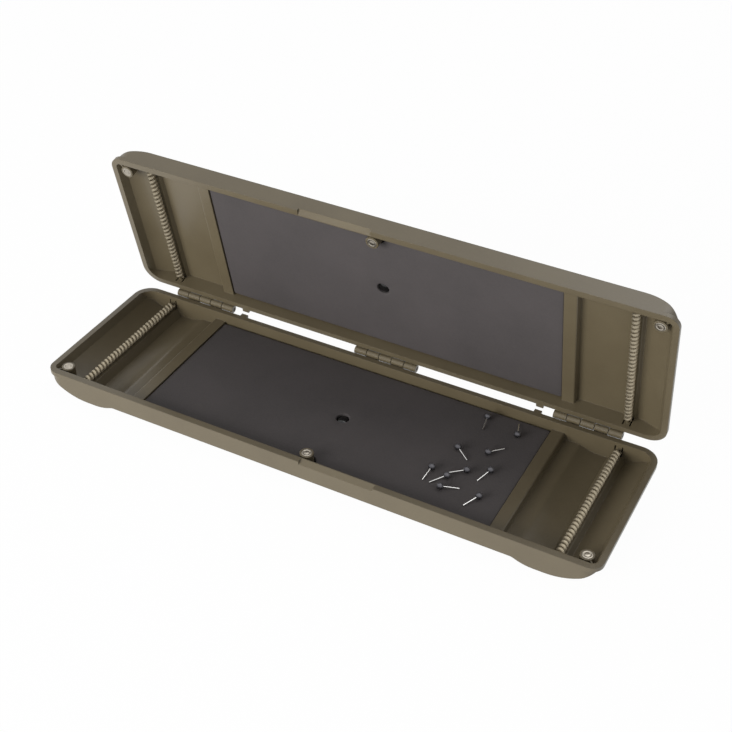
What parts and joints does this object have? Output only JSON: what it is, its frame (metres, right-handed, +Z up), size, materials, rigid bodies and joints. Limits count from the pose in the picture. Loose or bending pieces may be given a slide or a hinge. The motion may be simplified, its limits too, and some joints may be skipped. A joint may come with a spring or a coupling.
{
  "type": "rig box",
  "caption": "Slim two-half rig box with barrel-hinged lid, spring link holders, foam pads and magnetic closure, shown open.",
  "frame": {"origin": "floor point under the centre of the open box's bounding box", "axes": "+X along the box to the right as seen from the front, +Y from the front towards the hinge, +Z up; the lid stands open at 77 degrees"},
  "size_m": [0.365, 0.122, 0.1261],
  "materials": {
    "moulded_plastic": "satin",
    "foam_pad": "matte",
    "black_stud_plastic": "gloss",
    "hinge_steel": "satin",
    "spring_wire": "satin",
    "magnet_nickel": "polished",
    "pin_head": "gloss",
    "pin_steel": "polished"
  },
  "bodies": {
    "base": {"base_shell": "moulded_plastic", "hinge_pin_left": "hinge_steel", "hinge_pin_centre": "hinge_steel", "hinge_pin_right": "hinge_steel", "base_pad": "foam_pad", "base_pad_stud": "black_stud_plastic", "base_spring_left": "spring_wire", "base_spring_right": "spring_wire", "base_magnet_left": "magnet_nickel", "base_magnet_centre": "magnet_nickel", "base_magnet_right": "magnet_nickel", "rig_pin_heads": "pin_head", "rig_pin_needles": "pin_steel"},
    "lid": {"lid_shell": "moulded_plastic", "lid_pad": "foam_pad", "lid_pad_stud": "black_stud_plastic", "lid_spring_left": "spring_wire", "lid_spring_right": "spring_wire", "lid_magnet_left": "magnet_nickel", "lid_magnet_centre": "magnet_nickel", "lid_magnet_right": "magnet_nickel"}
  },
  "joints": [
    {"name": "lid_hinge", "type": "hinge", "parent": "base", "child": "lid", "pos_m": [0, 0.04973, 0.0154], "axis": [-1, 0, 0], "range_deg": [-77, 103]}
  ]
}
